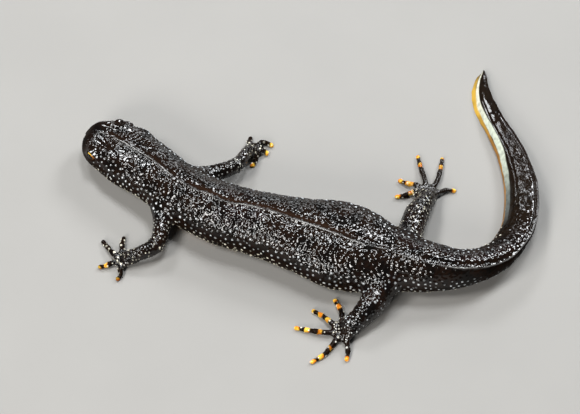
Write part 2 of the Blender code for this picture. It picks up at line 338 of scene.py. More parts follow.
def make_mesh(name, points, corners, counts):
    mesh = bpy.data.meshes.new(name)
    mesh.vertices.add(len(points))
    mesh.loops.add(len(corners))
    mesh.loops.foreach_set("vertex_index", corners.astype(np.int32))
    mesh.polygons.add(len(counts))
    mesh.polygons.foreach_set("loop_start", (np.cumsum(counts) - counts).astype(np.int32))
    mesh.polygons.foreach_set("loop_total", counts.astype(np.int32))
    mesh.update(calc_edges=True)
    set_points(mesh, points)
    mesh.shade_smooth()
    return mesh


def add_object(name, data):
    made = bpy.data.objects.new(name, data)
    bpy.context.scene.collection.objects.link(made)
    return made


def normals_of(mesh):
    return triples(mesh.vertex_normals, "vector").astype(float)


# ---------------- places on the animal


def smooth_path(knots, step):
    """The knots' values every step along a path through them, and the distance at each."""
    knots = np.asarray(knots, float)
    along = np.concatenate([[0], np.cumsum(length(np.diff(knots[:, :2], axis=0)))])
    slopes = np.gradient(knots, along, axis=0)
    places = np.arange(0, along[-1], step)
    i = np.clip(np.searchsorted(along, places, side="right") - 1, 0, len(along) - 2)
    span = (along[i + 1] - along[i])[:, None]
    t = (places - along[i])[:, None] / span
    held = (1 + 2 * t) * (1 - t) ** 2 * knots[i] + t * t * (3 - 2 * t) * knots[i + 1]
    turned = t * (1 - t) ** 2 * slopes[i] - t * t * (1 - t) * slopes[i + 1]
    return places, held + turned * span


def lows_and_highs(bins, value, count):
    """The least and greatest value in each bin, empty bins filled, and evened over five bins."""
    ends = []
    for worst, better in ((np.inf, np.minimum), (-np.inf, np.maximum)):
        found = np.full(count, worst)
        better.at(found, bins, value)
        known = np.flatnonzero(np.isfinite(found))
        found = np.interp(np.arange(count), known, found[known])
        ends.append(np.convolve(np.pad(found, 2, "edge"), np.ones(5) / 5, "valid"))
    return ends


class Places:
    """Where each of the skin's points is on the newt.

    Body, limb and digit are its distances from their solids. Along is the distance from the
    snout. Across and height run from -1 to 1 over the body's own section, whose mean radius is
    kept too: +1 across is its left side and +1 height its back. Angle runs from the back to
    the left, and turn is the same on either side: 90 at mid flank and 180 at the belly."""

    def __init__(self, points, grids):
        self.points = points
        self.to = {name: grid.at(points) for name, grid in grids.items()}
        names = list(grids)
        self.owner = np.array(names)[np.argmin([self.to[name] for name in names], axis=0)]
        self.body = self.nearest(BODY + TAIL)
        self.limb = self.nearest(LIMBS)
        self.digit = self.nearest(DIGITS)
        self.find_along()
        self.find_section()

    def nearest(self, names):
        return np.min([self.to[name] for name in names], axis=0)

    def find_along(self):
        step, path = smooth_path(SPINE, SPINE_STEP)
        ahead = unit(np.gradient(path[:, :2], axis=0))
        index = np.empty(len(self.points), int)
        for start in range(0, len(index), CHUNK):
            place = self.points[start : start + CHUNK, None, :2]
            index[start : start + CHUNK] = ((place - path[:, :2]) ** 2).sum(axis=2).argmin(axis=1)
        offset = self.points[:, :2] - path[index, :2]
        self.along = step[index] + (offset * ahead[index]).sum(axis=1)
        lean = np.radians(path[index, 2])
        leftward = offset[:, 0] * ahead[index, 1] - offset[:, 1] * ahead[index, 0]
        z = self.points[:, 2]
        self.sideways = leftward * np.cos(lean) - z * np.sin(lean)
        self.upward = leftward * np.sin(lean) + z * np.cos(lean)
        left = np.column_stack([ahead[index, 1], -ahead[index, 0], 0 * lean])
        self.downward = -left * np.sin(lean)[:, None] - np.outer(np.cos(lean), (0, 0, 1))

    def find_section(self):
        """Places in the body's section, whose size at each millimetre is its own points'."""
        bins = np.maximum(self.along.astype(int), 0)
        count = bins.max() + 1
        centres = np.arange(count) + 0.5
        clear = (self.limb > 1.2) & (self.digit > 1.2)
        halves, shares = [], []
        for value in (self.sideways, self.upward):
            low, high = lows_and_highs(bins[clear], value[clear], count)
            middle = np.interp(self.along, centres, (low + high) / 2)
            half = np.interp(self.along, centres, (high - low) / 2)
            halves.append(half)
            shares.append((value - middle) / half)
        self.radius = sum(halves) / 2
        self.across, self.height = shares
        self.angle = np.degrees(np.arctan2(self.across, self.height))
        self.turn = np.abs(self.angle)

    def on_digit(self, name):
        """Which points are on this digit, and how far each of them is from its tip."""
        mine = (self.owner == name) & (self.to[name] < 0.6)
        return mine, length(self.points[mine] - digit_tip(name))


def build_skin_base():
    """The smooth skin before any fold or wart, and the distances from each of its solids."""
    grids = {name: node_grid(name) for name in FLESH}
    points, quads = mesh_of(join_nodes(grids))
    body, palm, digit = (
        np.min([grids[name].at(points) for name in names], axis=0)
        for names in (BODY + TAIL, PALMS, DIGITS)
    )
    # Hands, feet and digits are smoothed less than the body, so that they keep their shape.
    share = np.where(body < 0.5, 0.5, 0.3)
    share = np.minimum(share, 0.1 + 0.4 * ramp(palm, 0.2, 1.5))
    share = np.minimum(share, 0.04 + 0.46 * ramp(digit, 0.2, 1.5))
    edges, number = edges_of(quads.ravel(), np.full(len(quads), 4))
    relax(points, edges, share, round(SMOOTHING / VOXEL**2))
    head = np.minimum(grids["head"].at(points), grids["lower_jaw"].at(points))
    near = (head < 0.4) | (digit < 0.4) | (palm < 0.3)
    chosen = near[quads].all(axis=1)
    points, corners, counts = refine(points, quads, edges, number.reshape(-1, 4), chosen)
    relax(points, edges_of(corners, counts)[0], 0.3, 4)
    points[:, 2] = np.maximum(points[:, 2], 0.0)
    return points, corners, counts, grids


# ---------------- folds and features


def draw_in(points):
    """These places once the head is narrowed at its left cheek and its right eye."""
    left, right = (middle_of(f"eye_{side}") for side in SIDES)
    across = unit((left - right) * (1, 1, 0))
    ahead = np.cross(across, (0, 0, -1))
    ahead *= np.sign(ahead @ TO_SNOUT)
    offset = points - (left + right) / 2
    side, forward = offset @ across, offset @ ahead
    share = 0.62 * ramp(side, 2.2, 5.0) * bell(forward, -2.0, 5.2)
    share -= 0.45 * ramp(side, -2.2, -5.0) * bell(forward, -0.2, 2.6)
    return points - np.outer(share, across)


def fuller_lid(points):
    """Swells the skin behind the right eye level with the eye's top, as one long lid."""
    eye = EYES["right"]
    for back, radius in ((0.9, 1.26), (1.7, 1.10)):
        away = points - (eye.centre - back * eye.ahead)
        gap = radius - length(away)
        lift = (gap + np.sqrt(gap**2 + 0.06)) / 2 * ramp(gap, -0.7, -0.1)
        points += unit(away) * lift[:, None]


def eye_relief(points):
    """Moves the skin over each eye back from its opening and out into two lids."""
    for eye in EYES.values():
        distance = length(points - eye.centre)
        way = unit(points - eye.centre)
        along, up = way @ eye.ahead, way @ eye.up
        opening = np.hypot(along / 0.88, (up - 0.10) / np.where(up > 0.10, 0.48, 0.56))
        opening = np.where(way @ eye.out > 0, opening, 9.0)
        rim = bell(opening, 1.18, 0.30)
        lid = rim * (0.20 * ramp(up, 0.95, 0.5) + 0.10 * ramp(up, 0.1, -0.2))
        inside = ramp(opening, 1.08, 0.94)
        wanted = eye.radius + 0.06 + lid
        wanted = wanted * (1 - inside) + (eye.radius - 0.3) * inside
        near = ramp(distance, eye.radius + 1.1, eye.radius + 0.4) * (opening < 2.6)
        crease = -0.09 * bell(opening, 1.75, 0.20)
        target = np.maximum(distance, wanted) * (1 - inside) + wanted * inside + crease
        points += way * ((target - distance) * near)[:, None]


def head_relief(points, normals, places):
    """Mouth, lips, brow ridges, temples and nostrils, and a head that is fuller on its right."""
    along, across, turn = places.along, places.across, places.turn
    z = points[:, 2]
    side = np.abs(across)
    mouth_z = 2.75 - 0.35 * ramp(along, 5.0, 9.8)
    mouth = ramp(along, 10.3, 9.3) * (places.limb > 1)
    lips = bell(z, mouth_z + 0.38, 0.22) + bell(z, mouth_z - 0.36, 0.2)
    relief = (0.07 * lips - 0.20 * bell(z, mouth_z, 0.11)) * mouth

    brow = bell(side, 0.56 + 0.10 * ramp(along, 1.0, 6.0), 0.13) * (places.body < 1.0)
    brow *= plateau(along, 1.0, 4.0, 8.0, 11.5) * ramp(along, 13.5, 10.5)
    hollow = bell(side, 0.36, 0.14) * bell(along, 5.6, 1.9)
    crown = bell(side, 0.30, 0.16) * bell(along, 9.5, 2.2)
    relief += (0.34 * brow - 0.24 * hollow + 0.16 * crown) * ramp(turn, 95, 70)
    temple = bell(side, 0.62, 0.2) * bell(along, 12.5, 3.2) * ramp(turn, 85, 60)
    jaw_hinge = bell(turn, 100, 18) * bell(along, 11.5, 2.6)
    groove = bell(turn, 76, 7) * plateau(along, 7.0, 8.5, 12.5, 16.0)
    relief += 0.22 * temple + 0.16 * jaw_hinge - 0.10 * groove

    behind_eye = bell(turn, 62, 15) * bell(along, 10.2, 1.9)
    over_eye = bell(turn, 50, 16) * bell(along, 6.0, 3.4)
    relief += (0.45 * behind_eye + 0.26 * over_eye) * ramp(across, 0.0, -0.3)
    right_of_snout = bell(turn, 45, 30) * ramp(along, 3.2, 1.2) * (across < 0)
    relief += 0.30 * right_of_snout
    for nostril in (-0.42, 0.42):
        from_it = (along - 1.35) ** 2 + (z - 4.3) ** 2 + 9 * (across - nostril) ** 2
        gap = length(points - points[from_it.argmin()])
        relief += -0.34 * bell(gap, 0, 0.2) + 0.05 * bell(gap, 0.42, 0.14)
    relief *= ramp(eye_distance(points), 0.1, 0.7)
    points += normals * relief[:, None]


def crest_line(places):
    """Distance to the left of the back's crest, which winds a little, and its evenness."""
    along = places.along
    steps = np.column_stack([along, 0 * along, 0 * along])
    wander = (0.20 * noise(steps, 4.0, 3) + 0.30) * plateau(along, 20, 32, 92, 104)
    broken = 0.75 + 0.25 * noise(steps + (0, 7, 0), 1.3, 4)
    broken += (1 - broken) * ramp(along, 84, 98)
    beside = np.radians(places.angle) * places.radius - wander + 0.14 * ramp(along, 20, 14)
    return beside, broken


def crest_band(places):
    """The smooth brown band to the right of the crest, from 0 to 1."""
    along = places.along
    beside, _ = crest_line(places)
    on_head = bell(beside, -0.55, 0.34) * plateau(along, 4, 6, 22, 27)
    on_back = bell(beside, -0.76, 0.42) * plateau(along, 24, 30, 54, 68)
    return np.maximum(on_head, on_back)


def crest_relief(places):
    """The ridge along the back, double on the head, and the ditches beside it."""
    along = places.along
    beside, broken = crest_line(places)
    on_tail = ramp(along, 84, 98)
    single = ramp(along, 20, 28)
    double = 0.12 * bell(beside, 0, 0.13) + 0.09 * bell(beside, 0.44, 0.12)
    crest = 0.22 * broken * bell(beside, 0, 0.24) * single
    crest += double * ramp(along, 3.0, 5.0) * (1 - single)
    near_ditch = 0.06 * bell(beside, 0.62, 0.25) * (1 + on_tail)
    far_ditch = 0.16 * bell(beside, -0.85, 0.50) * ramp(along, 22, 34) * (1 - on_tail)
    rim_ditch = 0.20 * bell(beside, -0.85, 0.24) * plateau(along, 94, 103, 126, 134)
    ditches = (near_ditch + far_ditch) * ramp(along, 3.0, 7.0) + rim_ditch
    return (crest - ditches) * (places.turn < 60)


def body_relief(points, places):
    """Folds at the throat, neck and ribs, slack lumps of skin, the vent and the tail's line."""
    along, turn, height = places.along, places.turn, places.height
    on_tail = ramp(along, 84, 98)
    fold = along - 17.0 - 1.2 * np.cos(np.radians(places.angle))
    throat = 0.14 * bell(fold, -0.9, 0.5) - 0.30 * bell(fold, 0, 0.35)
    relief = crest_relief(places) + throat * ramp(turn, 60, 110)
    relief -= 0.14 * bell(along, 21.5, 0.4) * plateau(turn, 40, 95, 120, 150)
    ribs = np.cos((along + 0.9 * noise(points * (1, 1, 0.4), 5.0, 5)) / 3.7 * math.tau)
    ribs = np.maximum(ribs, 0) ** 3 * plateau(along, 30, 34, 70, 74)
    relief -= 0.11 * ribs * plateau(turn, 40, 70, 120, 150)
    relief += 0.16 * noise(points, 4.5, 6) * ramp(along, 9, 16) * (1 - 0.6 * on_tail)
    relief += 0.07 * noise(points, 1.9, 7) * ramp(along, 7, 14)
    rumpled = 0.10 * noise(points * (1, 1, 0.6), 1.3, 28) + 0.05 * noise(points, 0.7, 29)
    relief += rumpled * plateau(height, -0.1, 0.2, 0.80, 0.94) * on_tail * ramp(along, 134, 120)
    vent = bell(along, 78.5, 3.4) * bell(np.abs(places.across), 0.16, 0.10)
    slit = bell(along, 78.5, 2.6) * bell(places.across, 0, 0.05)
    relief += 0.35 * vent * (turn > 120) - 0.45 * slit * (turn > 150)
    relief -= 0.08 * bell(height, -0.02, 0.08) * on_tail * ramp(along, 140, 128)
    return relief * ramp(places.limb, 0.1, 1.2) * ramp(places.digit, 0.1, 1.2)


def tail_fin(places):
    """Draws the tail's lower edge out into a thin fin near its tip."""
    reach = 0.72 * plateau(places.along, 125, 133, 139, 145)
    reach *= ramp(places.height, -0.74, -1.0) * ramp(places.body, 0.8, 0.4)
    return places.downward * reach[:, None]


CREASES = {  # how far apart a joint's creases lie
    ("upper_arm", "forearm"): 0.9,
    ("thigh", "shank"): 1.1,
    ("forearm", "hand"): 0.62,
    ("shank", "foot"): 0.75,
}


def limb_relief(places):
    """Creases at the elbows, knees, wrists and ankles, and the muscles between them."""
    relief = np.zeros(len(places.points))
    for bones, pitch in CREASES.items():
        for side in SIDES:
            one, other = (places.to[f"{bone}_{side}"] for bone in bones)
            seam = one - other
            here = (np.minimum(one, other) < 0.5) * (places.body > 0.3)
            near = bell(seam, 0, 1.3 * pitch) * here
            relief -= 0.085 * near * np.maximum(np.cos(seam / pitch * math.tau), -0.4)
    on_limb = ramp(places.body, 0.2, 1.5) * ramp(places.digit, 0.1, 0.6)
    return relief + 0.10 * noise(places.points, 2.4, 9) * on_limb


def digit_tip(name):
    """The node's far end from its hand or foot."""
    kind, side, _ = name.split("_")
    palm = middle_of(f"hand_{side}" if kind == "finger" else f"foot_{side}")
    points = NODE_POINTS[name]
    return points[length(points - palm).argmax()]


def digit_relief(places):
    """Round joints, ring creases and a blunt pad on every finger and toe."""
    relief = np.zeros(len(places.points))
    for name in DIGITS:
        mine, back = places.on_digit(name)
        knots = 0.075 * (bell(back, 0.45, 0.4) + bell(back, 2.3, 0.5) + bell(back, 4.2, 0.6))
        waist = -0.05 * (bell(back, 1.35, 0.4) + bell(back, 3.3, 0.5))
        rings = -0.022 * np.maximum(np.cos(back / 0.42 * math.tau), 0) ** 2
        relief[mine] = knots + waist + rings * ramp(back, 0.8, 1.4)
    return relief


# ---------------- warts


SKIN_AREA = 5500.0  # about, in square millimetres
TRIES = 12  # places tried for each wart that the skin's area has room for


def scatter(points, spacing, allowed, seed):
    """Picks of the points so that no two are nearer than the spacing at the later one."""
    order = np.random.default_rng(seed).permutation(np.flatnonzero(allowed))
    cell = float(spacing[allowed].max())
    keys = np.floor(points / cell).astype(int)
    around = [(a - 1, b - 1, c - 1) for a, b, c in np.ndindex(3, 3, 3)]
    places = points.tolist()
    cells = {}
    picked = []
    tries = TRIES * round(SKIN_AREA / float(spacing[allowed].mean()) ** 2)
    for i in order[:tries].tolist():
        a, b, c = keys[i].tolist()
        x, y, z = places[i]
        room = float(spacing[i]) ** 2
        if not any(
            (x - u) ** 2 + (y - v) ** 2 + (z - w) ** 2 < room
            for da, db, dc in around
            for u, v, w in cells.get((a + da, b + db, c + dc), ())
        ):
            cells.setdefault((a, b, c), []).append((x, y, z))
            picked.append(i)
    return np.array(picked)


class Warts:
    """A set of round warts, and how far each point of the skin is from its nearest ones."""

    def __init__(self, points, picked, size, where):
        self.picked = picked
        self.size = size
        tree = kdtree.KDTree(len(picked))
        for i, k in enumerate(picked):
            tree.insert(points[k], i)
        tree.balance()
        self.near = np.zeros((len(points), 2), int)
        self.gap = np.full((len(points), 2), 9.0)
        where = np.flatnonzero(where)
        found = [tree.find_n(place, 2) for place in points[where].tolist()]
        self.near[where] = [(first[1], second[1]) for first, second in found]
        self.gap[where] = [(first[2], second[2]) for first, second in found]

    def domes(self):
        """How high each point is on the wart over it, from 0 to 1."""
        share = self.gap / self.size[self.near]
        return (np.clip(1 - share**2, 0, 1) ** 1.5).max(axis=1)

    def spots(self, strength, size_share):
        """Each wart's strength at its tip, fading to 0 at this share of its size."""
        share = self.gap / (self.size[self.near] * size_share)
        return (ramp(share, 1.0, 0.55) * strength[self.near]).max(axis=1)


# The scale of the skin's net: distances from the snout, its scale along and round the body.
NET_SCALE = (
    (0, 4, 6, 17, 26, 38, 88, 104, 160),
    (1.25, 1.1, 0.55, 0.55, 0.70, 1.0, 1.0, 0.55, 0.50),
    (1.3, 1.3, 1.2, 1.2, 1.1, 1.0, 1.0, 1.1, 1.1),
)
NET_PITCH = 0.90  # between the ridges of the net on the body
LIMB_PITCH = 0.80  # and on the limbs
CREAMY = (78, 98)  # the turns between which the white tips become cream


def body_map(places):
    """Distances along and round the body, scaled where the net is drawn out or finer."""
    steps = np.arange(0, 161)
    distances, along_scale, round_scale = NET_SCALE
    lengthways = np.cumsum(np.interp(steps, distances, along_scale))
    arc = np.radians(places.angle) * places.radius
    arc *= np.interp(places.along, distances, round_scale)
    return np.column_stack([np.interp(places.along, steps, lengthways), arc])


def smooth_skin(places):
    """Where the skin has no granules, from 0 to 1: on the head, beside the crest and the tail."""
    along, angle, height = places.along, places.angle, places.height
    beside, _ = crest_line(places)
    hollow = np.hypot((along - 5.3) / 1.2, (angle - 20) / 7.0)
    return np.max([
        ramp(along, 2.4, 1.3),
        ramp(hollow, 1.15, 0.75),
        ramp(angle, 45, 50) * ramp(along, 14, 11.5),
        ramp(angle, -6, -12) * ramp(along, 4.4, 3.4),
        ramp(angle, -58, -70) * ramp(along, 12, 9),
        0.9 * crest_band(places),
        0.8 * ramp(beside, 0.5, 1.2) * plateau(along, 78, 90, 104, 112),
        ramp(height, 0.10, -0.12) * ramp(along, 96, 104),
        ramp(height, 0.82, 0.92) * ramp(along, 98, 106),
        0.7 * ramp(along, 118, 126),
    ], axis=0)


def granules_by_place(places):
    """How far apart the small granules lie, how high they stand, and the net's height."""
    along, turn, angle = places.along, places.turn, places.angle
    on_limb = ramp(places.body, 0.4, 1.4)
    found = np.tile([[0.80], [0.115], [0.038]], len(along))
    for share, *wanted in (
        (ramp(angle, -6, -14), 0.66, 0.090, 0.022),
        (ramp(turn, 58, 74), 0.66, 0.030, 0.008),
        (ramp(turn, 125, 140), 0.90, 0.030, 0.010),
        (ramp(along, 86, 98), 0.68, 0.050, 0.030),
        (ramp(along, 98, 108), 0.66, 0.022, 0.016),
        (ramp(along, 20, 11) * ramp(angle, 52, 45), 0.70, 0.030, 0.076),
        (ramp(along, 14, 10) * ramp(angle, -5, -9), 0.76, 0.120, 0.0),
        (on_limb, 0.56, 0.095, 0.022),
        (ramp(places.digit, 0.5, 0.0), 0.5, 0.026, 0.008),
    ):
        found += share * (np.reshape(wanted, (3, 1)) - found)
    spacing, height, net = found
    plain = 1 - 0.94 * smooth_skin(places) * (1 - on_limb)
    return spacing, height * plain, net * plain, on_limb


def flank_warts(places):
    """How far apart the larger warts of the flanks, cheeks and neck lie, and where they grow."""
    along, turn = places.along, places.turn
    spacing = 1.02 - 0.22 * ramp(turn, 98, 112) - 0.10 * ramp(along, 30, 18)
    zone = plateau(turn, 38, 50, 126, 138) * plateau(along, 5.0, 7.0, 92, 104)
    return spacing, zone * ramp(places.limb, -0.1, 0.4)


def white_tips(places, large, small, on_limb, rng):
    """How white the larger warts' tips are, and those of some granules on limbs and flanks."""
    along, turn = places.along, places.turn
    at = large.picked
    tips = rng.uniform(0.1, 1.0, len(at)) * (0.8 + 0.2 * ramp(turn[at], *CREAMY))
    tips *= rng.random(len(at)) < ramp(along[at], 106, 82)
    at = small.picked
    chance = 0.42 * on_limb[at] + 0.10 * ramp(turn[at], 60, 90)
    chance *= ramp(places.digit[at], -0.2, 0.4) * ramp(along[at], 110, 84)
    chance *= np.maximum(ramp(along[at], 6, 9), on_limb[at])
    specks = rng.uniform(0.1, 0.9, len(at)) * (rng.random(len(at)) < chance)
    return large.spots(tips, 0.80) * ramp(turn, 38, 54), small.spots(specks, 0.50)


def model_skin(points, normals, places):
    """Moves the points into the finished surface and returns every marking."""
    along, turn = places.along, places.turn
    rng = np.random.default_rng(12)
    spacing, zone = flank_warts(places)
    picked = scatter(points, spacing, zone > 0.45, seed=13)
    sizes = rng.uniform(0.20, 0.38, len(picked)) * (0.80 + 0.20 * ramp(along[picked], 9, 18))
    large = Warts(points, picked, sizes, zone > 0.02)
    spacing, height, net, on_limb = granules_by_place(places)
    picked = scatter(points, spacing, turn < 172, seed=11)
    sizes = spacing[picked] * rng.uniform(0.46, 0.62, len(picked))
    small = Warts(points, picked, sizes, turn < 174)

    granule, wart = small.domes(), large.domes()
    winding = ridges(body_map(places), NET_PITCH, 31)
    winding += on_limb * (ridges(points, LIMB_PITCH, 32) - winding)
    grain = height * (granule - 0.35) + net * winding
    grain += wart * (0.13 - 0.7 * grain)
    clear_of_eyes = ramp(eye_distance(points), 0.3, 1.1)
    lumps = body_relief(points, places) + limb_relief(places) + digit_relief(places)
    points += normals * (lumps + grain * clear_of_eyes)[:, None] + tail_fin(places)
    points[:, 2] = np.maximum(points[:, 2], 0.0)

    tips, specks = white_tips(places, large, small, on_limb, rng)
    return {
        "crease": 1 - np.maximum(granule, wart),
        "white": np.maximum(tips, specks * clear_of_eyes),
        "cream": ramp(turn, *CREAMY),
        "brown": ramp(turn, 40, 95) * ramp(along, 96, 80) * ramp(places.limb, 0.2, 1.2),
        "wet": wetness(places),
        "along": along,
        **crest_marks(places),
        **belly_marks(points, places),
        **tail_marks(points, places),
        **digit_marks(places),
    }


def eye_distance(points):
    return np.min([length(points - eye.centre) - eye.radius for eye in EYES.values()], axis=0)


def wetness(places):
    """How much of the film of water lies on the skin, which thins towards the belly."""
    along, turn, angle = places.along, places.turn, places.angle
    low = 0.50 * ramp(turn, 58, 70) + 0.44 * ramp(turn, 68, 84)
    low *= ramp(along, 108, 98)
    far = ramp(angle, -42, -58) * (0.6 + 0.25 * ramp(along, 20, 12))
    snout = 0.95 * ramp(along, 4.2, 1.8)
    tail_base = ramp(angle, 5, 16) * plateau(along, 76, 88, 106, 112)
    tail_rim = 0.8 * ramp(places.height, 0.82, 0.92) * ramp(along, 92, 100)
    tail_side = 0.7 * ramp(places.height, 0.15, -0.15) * ramp(along, 92, 104)
    band = 0.8 * crest_band(places)
    dry = np.max([low, far, snout, tail_base, tail_rim, tail_side, band], axis=0)
    soaked = 0.60 + 0.21 * ramp(along, 22, 14) + 0.40 * ramp(along, 94, 104)
    return soaked * (1 - dry * ramp(places.limb, 0.2, 1.0))


def crest_marks(places):
    """The crest's pale line and a fainter one beside it on the head, partly pigment and partly
    painted highlight, and the brown band.
    """
    along = places.along
    beside, broken = crest_line(places)
    # The pale line on the crest is partly paler skin and partly a painted highlight along the wet
    # ridge.
    line = bell(beside, 0.0, 0.055 + 0.035 * ramp(along, 16, 28)) * ramp(along, 3.0, 4.2)
    line *= 1 - 0.5 * ramp(along, 92, 100)
    line += 0.20 * bell(beside, 0.44, 0.06) * plateau(along, 6.0, 8.0, 20, 27)
    line *= ramp(broken, 0.58, 0.90) * (1 - 0.3 * ramp(along, 24, 32)) * ramp(along, 128, 118)
    band = crest_band(places) * (0.35 + 0.65 * ramp(along, 20, 30))
    clear = ramp(places.limb, 0.0, 0.6)
    return {"line": line * clear, "band": band * clear}


def belly_marks(points, places):
    """The orange underside, its black blotches, and the tail's ochre lower edge."""
    along = places.along
    edge = 142 + 9 * noise(points, 2.6, 21) + 5 * noise(points, 1.1, 22)
    under = ramp(places.turn, edge - 4, edge + 4) * ramp(places.limb, -0.2, 0.5)
    blotch = ramp(noise(points, 3.4, 23) + 0.45 * noise(points, 1.5, 24), 0.10, 0.28)
    keel = ramp(places.height, -0.66, -0.76) * plateau(along, 84, 92, 138, 142)
    keel *= ramp(places.body, 0.6, 0.1) * (0.75 + 0.25 * noise(points, 1.4, 27))
    return {"belly": under * plateau(along, 15, 21, 84, 92) * (1 - blotch), "keel": keel}


# The tail's pale stripe: distance from the snout, height of its middle, half its width.
STRIPE = (
    (98, -0.50, 0.17),
    (103, -0.58, 0.16),
    (108, -0.62, 0.16),
    (112, -0.62, 0.18),
    (115, -0.58, 0.20),
    (118.6, -0.50, 0.21),
    (120, -0.45, 0.23),
    (123, -0.41, 0.24),
    (127.4, -0.43, 0.25),
    (129.3, -0.48, 0.24),
    (131.8, -0.56, 0.22),
    (133.6, -0.58, 0.22),
    (135.5, -0.48, 0.22),
    (137.4, -0.38, 0.22),
    (143, -0.30, 0.20),
)


def tail_marks(points, places):
    """The pale stripe along each side of the tail, low on its flank."""
    along = places.along
    steps, middles, halves = zip(*STRIPE)
    middle = np.interp(along, steps, middles) + 0.03 * noise(points, 1.2, 25)
    past_edge = np.abs(places.height - middle) - np.interp(along, steps, halves)
    return {"stripe": ramp(past_edge, 0.05, -0.03) * plateau(along, 97, 108, 140, 143.5)}


PATCHES = {  # on each digit: distance from the tip, reach, strength
    "finger_left_3": ((0.2, 0.5, 0.5), (1.7, 0.4, 0.8)),
    "finger_left_4": ((0.3, 0.4, 0.3),),
    "finger_right_2": ((0.2, 0.8, 1.0),),
    "finger_right_3": ((0.2, 0.8, 1.0),),
    "finger_right_4": ((0.2, 0.9, 1.0),),
    "toe_left_1": ((0.3, 0.8, 1.0), (2.2, 0.6, 0.7)),
    "toe_left_2": ((0.3, 0.6, 0.8), (2.2, 0.5, 0.7), (4.2, 0.5, 0.6)),
    "toe_left_3": ((0.3, 0.9, 1.0), (2.6, 0.6, 0.9), (5.2, 0.5, 0.5)),
    "toe_left_4": ((0.3, 0.9, 1.0), (2.3, 0.6, 0.8), (4.8, 0.4, 0.4)),
    "toe_left_5": ((0.3, 0.8, 1.0),),
    "toe_right_1": ((0.3, 1.0, 1.0), (3.4, 0.6, 0.5)),
    "toe_right_2": ((0.3, 0.9, 1.0), (2.6, 0.8, 0.7)),
    "toe_right_3": ((0.3, 0.7, 0.8), (2.8, 0.5, 0.5)),
    "toe_right_4": ((0.3, 0.7, 0.7), (2.8, 0.5, 0.5)),
    "toe_right_5": ((0.3, 0.8, 0.9),),
}


def digit_marks(places):
    """Orange tips and rings on the digits, with ragged edges."""
    amber = np.zeros(len(places.points))
    ragged = 0.25 * noise(places.points, 0.6, 26)
    for name, patches in PATCHES.items():
        mine, back = places.on_digit(name)
        back += ragged[mine]
        for at, reach, strength in patches:
            patch = strength * ramp(np.abs(back - at) / reach, 1.1, 0.6)
            amber[mine] = np.maximum(amber[mine], patch)
    return {"amber": amber}


MAP_WIDTH = 108.0  # of the sheet that the skin's charts are packed on, row by row
MAP_MARGIN = 0.6  # between charts


def lay_out_map(mesh, corners, counts, places):
    """A map of the skin with one chart for each node: along it, and round it."""
    start = np.cumsum(counts) - counts
    face = np.repeat(np.arange(len(counts)), counts)
    owner = places.owner[corners[start]][face]
    charts = []
    for name in FLESH:
        mine = np.flatnonzero(owner == name)
        if not len(mine):
            continue
        vertex = corners[mine]
        if name in BODY + TAIL:
            lengthways, round_it = places.along[vertex], np.radians(places.angle[vertex])
            radius = places.radius[vertex]
        else:
            lengthways, round_it, radius = round_axis(name, places.points[vertex])
        # Where the angle jumps by a whole turn, a face's corners stay with its first one.
        first = round_it[np.searchsorted(mine, start[face[mine]])]
        round_it = first + (round_it - first + math.pi) % math.tau - math.pi
        place = np.column_stack([lengthways, round_it * radius])
        place -= place.min(axis=0)
        charts.append((place.max(axis=0), mine, place))
    charts.sort(key=lambda chart: -chart[0][1])
    uv = np.zeros((len(corners), 2))
    x = y = shelf = 0.0
    for size, mine, place in charts:
        if x + size[0] > MAP_WIDTH:
            x, y, shelf = 0.0, y + shelf + MAP_MARGIN, 0.0
        uv[mine] = place + (x, y)
        x += size[0] + MAP_MARGIN
        shelf = max(shelf, size[1])
    uv /= max(MAP_WIDTH, y + shelf)
    layer = mesh.uv_layers.new(name="OFBake")
    layer.uv.foreach_set("vector", uv.astype(np.float32).ravel())


def round_axis(name, points):
    """Distance along a limb's node, the angle round it and its mean radius."""
    own = NODE_POINTS[name]
    middle = own.mean(axis=0)
    axis = np.linalg.svd(own - middle, full_matrices=False)[2][0]
    side = unit(np.cross(axis, (0.0, 0.0, 1.0)))
    top = np.cross(side, axis)
    offset = points - middle
    along = offset @ axis
    angle = np.arctan2(offset @ side, offset @ top)
    own = own - middle
    radius = length(own - np.outer(own @ axis, axis))
    return along, angle, radius.mean()


def add_attributes(mesh, marks):
    for name, values in marks.items():
        layer = mesh.attributes.new(name, "FLOAT", "POINT")
        layer.data.foreach_set("value", values.astype(np.float32))


def build_skin():
    """The newt's whole skin as one object, which replaces every solid but the eyes."""
    points, corners, counts, grids = build_skin_base()
    points = draw_in(points)
    for eye in EYES.values():
        eye.centre = draw_in(eye.centre[None])[0]
    fuller_lid(points)
    eye_relief(points)
    mesh = make_mesh("skin", points, corners, counts)
    normals = normals_of(mesh)
    places = Places(points.copy(), grids)
    head_relief(points, normals, places)
    set_points(mesh, points)
    marks = model_skin(points, normals_of(mesh), places)
    set_points(mesh, points)
    add_attributes(mesh, marks)
    lay_out_map(mesh, corners, counts, places)
    mesh.materials.append(skin_material())
    skin = add_object("skin", mesh)
    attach(skin, "root")
    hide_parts(*FLESH)
    print(f"skin: {len(points)} points, {len(counts)} faces")


# ---------------- materials


